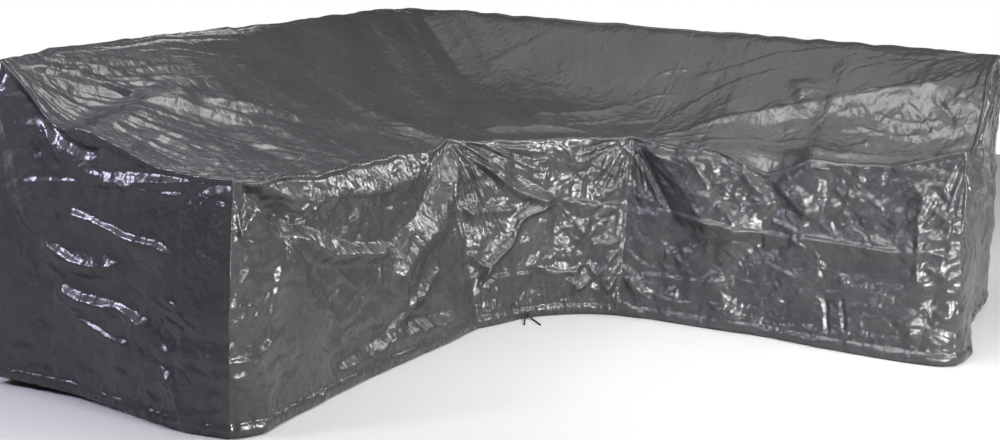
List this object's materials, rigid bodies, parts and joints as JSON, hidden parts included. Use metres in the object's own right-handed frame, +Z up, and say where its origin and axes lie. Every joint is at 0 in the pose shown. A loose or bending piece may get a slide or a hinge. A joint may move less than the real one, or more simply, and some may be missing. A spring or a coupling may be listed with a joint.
{
  "type": "l-shaped patio furniture cover",
  "caption": "Fitted cloth cover for an L-shaped outdoor corner sofa: a sloping roof, walls pulled into folds down to a drawcord hem, hollow and open underneath.",
  "frame": {"origin": "middle of the cover's box in plan, at the floor", "axes": "+Z up; +X along the right wing, away from the corner; +Y towards the long back wall of the right wing, so the open inside of the L faces +X and -Y"},
  "size_m": [2.2695, 2.2943, 0.8752],
  "materials": {
    "cloth": "dark grey coated woven cloth, satin to glossy, creased",
    "cord": "black braided cord, matt"
  },
  "bodies": {
    "root": {"top_main": "cloth", "top_wing": "cloth", "skirt_left_end": "cloth", "skirt_inner_left": "cloth", "skirt_chamfer": "cloth", "skirt_inner_right": "cloth", "skirt_right_end": "cloth", "skirt_back": "cloth", "skirt_side": "cloth", "drawcord_knot": "cord", "drawcord_tail_left": "cord", "drawcord_tail_right": "cord"}
  },
  "joints": []
}
